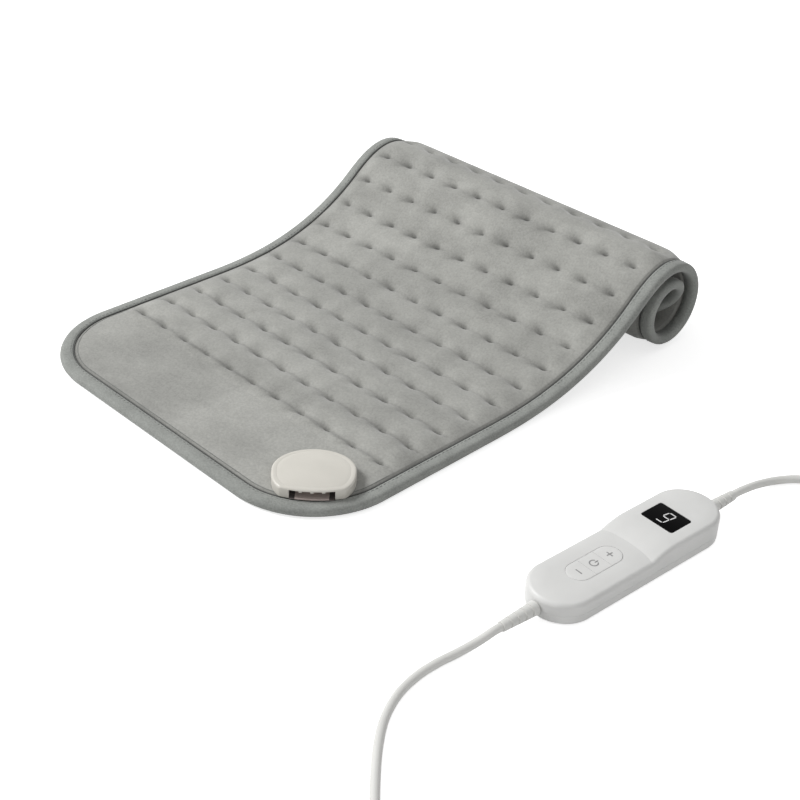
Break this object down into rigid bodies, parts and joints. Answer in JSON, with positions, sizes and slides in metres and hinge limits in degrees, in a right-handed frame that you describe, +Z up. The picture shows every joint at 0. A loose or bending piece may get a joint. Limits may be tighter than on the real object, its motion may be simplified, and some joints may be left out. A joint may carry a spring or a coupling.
{
  "type": "heating pad with controller",
  "caption": "Plush electric heating pad, its end rolled up, with a corner socket and a separate wired handheld controller with buttons and a display.",
  "frame": {"origin": "on the pad's underside, on its centre line, under the first row of tufts", "axes": "+Z up from the surface that the pad lies on, +Y along the pad to its rolled end, +X across it towards the controller"},
  "size_m": [0.6498, 0.5465, 0.071],
  "materials": {
    "plush": "soft short pile",
    "binding_cloth": "woven, matt",
    "felt_white": "felt",
    "wire_sleeve": "satin",
    "socket_plastic": "satin",
    "dark_plastic": "matt",
    "housing_plastic": "satin",
    "window_black": "polished",
    "board_green": "matt",
    "switch_black": "matt",
    "steel": "bright",
    "brass": "bright",
    "cord_rubber": "satin"
  },
  "bodies": {
    "pad_and_controller": {"plush_top_cover": "plush", "plush_back_cover": "plush", "inner_felt": "felt_white", "heating_wire": "wire_sleeve", "edge_binding": "binding_cloth", "socket_cover": "socket_plastic", "socket_base": "socket_plastic", "pin_block": "dark_plastic", "contact_pin_1": "brass", "contact_pin_2": "brass", "contact_pin_3": "brass", "contact_pin_4": "brass", "controller_top_shell": "housing_plastic", "controller_bottom_shell": "housing_plastic", "display_window": "window_black", "display_module": "switch_black", "tact_switch_1": "switch_black", "tact_switch_2": "switch_black", "tact_switch_3": "switch_black", "circuit_board": "board_green", "mains_strain_relief": "cord_rubber", "pad_lead_strain_relief": "cord_rubber", "case_screw_1": "steel", "case_screw_2": "steel", "case_screw_3": "steel", "case_screw_4": "steel", "mains_cord": "cord_rubber", "mains_cord_coil": "cord_rubber", "plug_strain_relief": "cord_rubber", "mains_plug": "cord_rubber", "plug_blade_1": "brass", "plug_blade_2": "brass", "pad_lead": "cord_rubber", "pad_lead_coil": "cord_rubber", "connector_strain_relief": "cord_rubber", "pad_connector": "cord_rubber"},
    "minus_button_body": {"minus_button": "housing_plastic"},
    "power_button_body": {"power_button": "housing_plastic"},
    "plus_button_body": {"plus_button": "housing_plastic"}
  },
  "joints": [
    {"name": "minus_press", "type": "slide", "parent": "pad_and_controller", "child": "minus_button_body", "axis": [0, 0, -1], "range_m": [0, 0.0006], "stiffness_N_per_m": 400},
    {"name": "power_press", "type": "slide", "parent": "pad_and_controller", "child": "power_button_body", "axis": [0, 0, -1], "range_m": [0, 0.0006], "stiffness_N_per_m": 400},
    {"name": "plus_press", "type": "slide", "parent": "pad_and_controller", "child": "plus_button_body", "axis": [0, 0, -1], "range_m": [0, 0.0006], "stiffness_N_per_m": 400}
  ]
}
